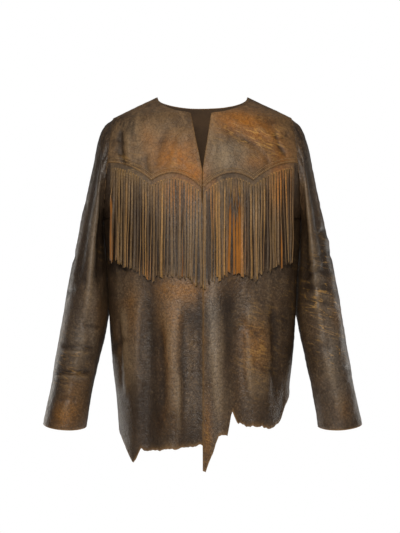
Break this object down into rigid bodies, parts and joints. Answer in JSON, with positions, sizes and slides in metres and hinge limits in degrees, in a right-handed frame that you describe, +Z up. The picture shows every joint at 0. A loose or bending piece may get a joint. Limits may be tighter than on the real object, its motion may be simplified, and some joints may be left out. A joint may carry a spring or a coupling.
{
  "type": "fringed leather jacket, worn, hollow",
  "caption": "Collarless western leather jacket with scalloped front yokes, long yoke fringe, plain sleeves and a raw hide hem, filled out as if worn.",
  "frame": {"origin": "between the shoulders, where the wearer's shoulders carry the jacket", "axes": "+Z up, the front faces -Y, the wearer's left is +X"},
  "size_m": [0.662, 0.2437, 0.7664],
  "materials": {
    "leather": "distressed, satin",
    "yoke_leather": "distressed, satin, tan wear",
    "fringe_leather": "napped at the cut edges"
  },
  "bodies": {
    "root": {"front_left": "leather", "front_right": "leather", "back": "leather", "sleeve_left": "leather", "sleeve_right": "leather", "yoke_left": "yoke_leather", "yoke_right": "yoke_leather", "fringe_left": "fringe_leather", "fringe_right": "fringe_leather"}
  },
  "joints": []
}
